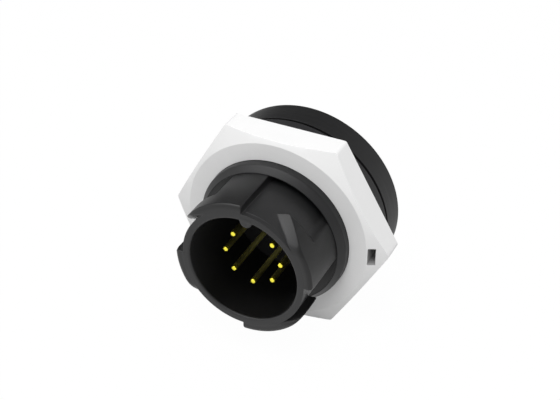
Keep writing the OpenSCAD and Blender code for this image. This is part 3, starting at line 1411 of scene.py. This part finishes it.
@dataclass
class Seals:
    """The flat panel gasket and the round seal of the insert."""

    inner_r: float = 14.1
    outer_r: float = 17.9
    thick: float = 2.2
    lip: float = 2.0
    lip_step: float = 0.25
    pieces: list[bpy.types.Object] = field(default_factory=list)

    def build(self, looks: Finishes) -> None:
        """Makes the gasket and finishes the hidden seal.

        Args:
            looks: the materials.
        """
        lip_r, lip_y = self.outer_r - self.lip, self.thick - self.lip_step
        corners = [(self.inner_r, 0.0), (self.outer_r, 0.0), (self.outer_r, lip_y), (lip_r, lip_y),
                   (lip_r, self.thick), (self.inner_r, self.thick)]
        soft = [0.15, 0.25, 0.1, 0.0, 0.0, 0.15]
        self.pieces.append(turned("panel_gasket_ring", corners, soft, looks.gasket, segments=288))
        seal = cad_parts["insert_seal"]
        seal.data.materials.clear()
        seal.data.materials.append(looks.seal)

    def dress(self) -> None:
        """Joins the gasket to the frame."""
        for piece in self.pieces:
            joined(piece, Body.CONNECTOR, Slot.GASKET, "panel_gasket")


@dataclass
class Inserts:
    """The insulator discs that hold the contacts, and the slotted ring behind them."""

    outer_r: float = 11.55
    front_y: float = -2.0
    split_y: float = 2.4
    ring_y: float = 3.4
    ring_t: float = 1.6
    ring_wall: float = 2.3
    slot_w: float = 1.6
    slot_d: float = 0.8
    slot_past: float = 1.0
    slot_edge: float = 0.1
    pieces: list[tuple[bpy.types.Object, Slot, str]] = field(default_factory=list)

    def build(self, looks: Finishes) -> None:
        """Makes the discs and the ring.

        Args:
            looks: the materials.
        """
        for node, low, high in (("front_insert", self.front_y, self.split_y),
                                ("rear_insert", self.split_y, self.ring_y)):
            corners = [(0.0, low), (self.outer_r, low), (self.outer_r, high), (0.0, high)]
            disc = turned(f"{node}_disc", corners, [0.0, 0.2, 0.2, 0.0], looks.insert, segments=192)
            self.pieces.append((disc, Slot.INSERT, node))
        back, inner = self.ring_y + self.ring_t, self.outer_r - self.ring_wall
        corners = [(inner, self.ring_y), (self.outer_r, self.ring_y), (self.outer_r, back), (inner, back)]
        ring = turned("retaining_ring_slotted", corners, [0.1, 0.1, 0.2, 0.2], looks.shell, segments=192)
        half, past = self.slot_w / 2, self.outer_r + self.slot_past
        slot = block((-past, back - self.slot_d, -half), (past, back + self.slot_past, half), self.slot_edge)
        self.pieces.append((weighted(carved(ring, slot), angle=50.0), Slot.SHELL, "retaining_ring"))

    def dress(self) -> None:
        """Joins the pieces to the frame."""
        for piece, slot, node in self.pieces:
            joined(piece, Body.CONNECTOR, slot, node)


@dataclass
class Contacts:
    """The gold-plated contacts: domed pin, shank, shoulder and an open solder cup."""

    circle_r: float = 5.235
    places: int = 8
    pin_r: float = 0.5
    nose_r: float = 0.24
    tip_y: float = -14.55
    shank_r: float = 0.75
    floor_y: float = -2.0
    shoulder_r: float = 1.05
    shoulder_y: float = 1.2
    split_y: float = 2.4
    cup_r: float = 0.85
    cup_bore_r: float = 0.6
    cup_depth: float = 3.0
    cup_y: float = 7.2
    scoop_run: float = 1.8
    scoop_z: float = 0.03
    scoop_half: float = 2.0
    scoop_past: float = 1.0
    scoop_edge: float = 0.08
    pieces: list[bpy.types.Object] = field(default_factory=list)

    def build(self, looks: Finishes) -> None:
        """Makes one contact and repeats it round the circle.

        Args:
            looks: the materials.
        """
        flat, cup_floor = self.pin_r - self.nose_r, self.cup_y - self.cup_depth
        nose = [(flat + self.nose_r * math.sin(a), self.tip_y + self.nose_r * (1 - math.cos(a)))
                for a in np.linspace(0.0, math.pi / 2, 7)]
        sharp = [(point, 0.0) for point in [(0.0, self.tip_y), *nose]]
        rounded = [((self.pin_r, self.floor_y), 0.0),
                   ((self.shank_r, self.floor_y), 0.05),
                   ((self.shank_r, self.shoulder_y), 0.0),
                   ((self.shoulder_r, self.shoulder_y), 0.05),
                   ((self.shoulder_r, self.split_y), 0.05),
                   ((self.cup_r, self.split_y), 0.0),
                   ((self.cup_r, self.cup_y), 0.06),
                   ((self.cup_bore_r, self.cup_y), 0.05),
                   ((self.cup_bore_r, cup_floor), 0.05),
                   ((0.0, cup_floor), 0.0)]
        pin = turned("contact_set", *zip(*sharp, *rounded), looks.gold, segments=40, steps=3)
        half = self.scoop_half
        scoop = block((-half, self.cup_y - self.scoop_run, self.scoop_z),
                      (half, self.cup_y + self.scoop_past, half), self.scoop_edge)
        pin = weighted(carved(pin, scoop))
        ring = ContactRingTree("contact_ring_tree", looks.gold)
        self.pieces.append(ring.spread(pin, self.places, self.circle_r))

    def dress(self) -> None:
        """Joins the contacts to the frame."""
        for piece in self.pieces:
            joined(piece, Body.CONNECTOR, Slot.CONTACT, *(f"contact_{k}" for k in range(1, self.places)))


@dataclass
class Studio:
    """Camera, floor, world and lamp; angles are in degrees, the lamp's size and distance in metres."""

    azimuth: float = 26.235
    elevation: float = 34.7
    roll: float = 0.07
    spot_mm: Triple = (70.456, -146.918, 115.677)
    lens: float = 71.72
    sensor: float = 36.0
    clip: Pair = (0.005, 20.0)
    floor_z: float = -18.0
    floor_half: float = 2000.0
    floor_tone: float = 0.46
    floor_glow: float = 0.96
    floor_white: float = 1.02
    floor_front: float = 1.18
    floor_back: float = 0.75
    floor_fade: Pair = (-25.0, 22.0)
    sky: float = 0.72
    room_front: float = 1.2
    room_right: float = 0.55
    room_back: float = 0.12
    room_side: float = 0.55
    front_fade: Pair = (-0.35, 0.6)
    back_fade: Pair = (-0.3, 0.8)
    depth_fade: Pair = (-0.25, 0.35)
    card: float = 2.8
    card_fade: Pair = (0.80, 0.95)
    card_from: Triple = (-0.36, -0.22, 0.907)
    key: float = 0.645
    key_from: Triple = (0.04, -0.35, 0.93)
    key_size: float = 0.32
    key_distance: float = 0.5

    def camera(self) -> None:
        """Sets the camera at the photograph's place."""
        a, e = math.radians(self.azimuth), math.radians(self.elevation)
        back = Vector((math.sin(a) * math.cos(e), -math.cos(a) * math.cos(e), math.sin(e)))
        right = Vector((math.cos(a), math.sin(a), 0.0))
        up = back.cross(right)
        roll = Quaternion(back, math.radians(self.roll))
        data = bpy.data.cameras.new("camera")
        data.lens, data.sensor_width = self.lens, self.sensor
        data.clip_start, data.clip_end = self.clip
        cam = placed("camera", data)
        turn = Matrix((roll @ right, roll @ up, back)).transposed().to_4x4()
        cam.matrix_world = Matrix.Translation(Vector(self.spot_mm) * MM) @ turn
        bpy.context.scene.camera = cam

    def world(self) -> None:
        """White to the camera, an even sky as light, and in gloss a room that is brighter in front."""
        bench = SkyBench("studio")
        back = bench.node("ShaderNodeNewGeometry", {}, {}, "Incoming")
        side, depth = 0.0 - bench.part(back, 0), 0.0 - bench.part(back, 1)
        ahead = bench.span(side, *self.front_fade, self.room_front, self.room_right)
        behind = bench.span(side, *self.back_fade, self.room_back, self.room_back + self.room_side)
        room = ahead + bench.span(depth, *self.depth_fade, 0.0, 1.0) * (behind - ahead)
        sockets = {0: back, 1: tuple(-c for c in self.card_from)}
        facing = bench.node("ShaderNodeVectorMath", {"operation": "DOT_PRODUCT"}, sockets, "Value")
        gloss = room + bench.span(facing, *self.card_fade, 0.0, self.card)
        shown = bench.mixed(bench.ray("Camera"), gloss, 1.0)
        level = bench.mixed(bench.looked_at(), self.sky, shown)
        bench.show(bench.node("ShaderNodeBackground", {}, {"Color": WHITE, "Strength": level}))

    def floor(self) -> None:
        """A white floor that keeps a faint shadow, and is dim behind the part where gloss shows it."""
        bench = MaterialBench("floor_white")
        tone = (self.floor_tone, self.floor_tone, self.floor_tone, 1.0)
        bench.finish({"Roughness": 0.9, "Specular IOR Level": 0.0, "Base Color": tone})
        room = bench.span(bench.part(bench.place(), 1), *self.floor_fade, self.floor_front, self.floor_back)
        shown = bench.mixed(bench.ray("Camera"), room, self.floor_white)
        glow = bench.node("ShaderNodeEmission", {}, {"Color": WHITE, "Strength": shown})
        share = bench.looked_at() * self.floor_glow
        bench.show(bench.node("ShaderNodeMixShader", {}, {0: share, 1: bench.surface, 2: glow}))
        half, z = self.floor_half, self.floor_z
        corners = np.array([(-half, -half, z), (half, -half, z), (half, half, z), (-half, half, z)])
        piece_from("floor", corners, np.array([(0, 1, 2, 3)]), bench.material)

    def lamp(self) -> None:
        """One large soft key from above."""
        way = Vector(self.key_from).normalized()
        data = bpy.data.lights.new("key", "AREA")
        data.shape = "DISK"
        data.size = self.key_size
        data.energy = self.key * (math.pi * self.key_distance) ** 2
        lamp = placed("key", data)
        lamp.location = way * self.key_distance
        lamp.rotation_mode = "QUATERNION"
        lamp.rotation_quaternion = (-way).to_track_quat("-Z", "Y")
        lamp.visible_glossy = False

    def build(self) -> None:
        """Sets up the whole studio."""
        bpy.context.scene.view_settings.view_transform = "Standard"
        self.camera()
        self.world()
        self.floor()
        self.lamp()


def main() -> None:
    """Builds every sub-assembly in order and notes the sizes."""
    logging.basicConfig(level=logging.INFO, format="%(name)s: %(message)s")
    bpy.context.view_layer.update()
    Studio().build()
    looks = Finishes()
    for part in (Shell(), LockNut(), Seals(), Inserts(), Contacts()):
        part.build(looks)
        part.dress()


if __name__ == "__main__":
    main()
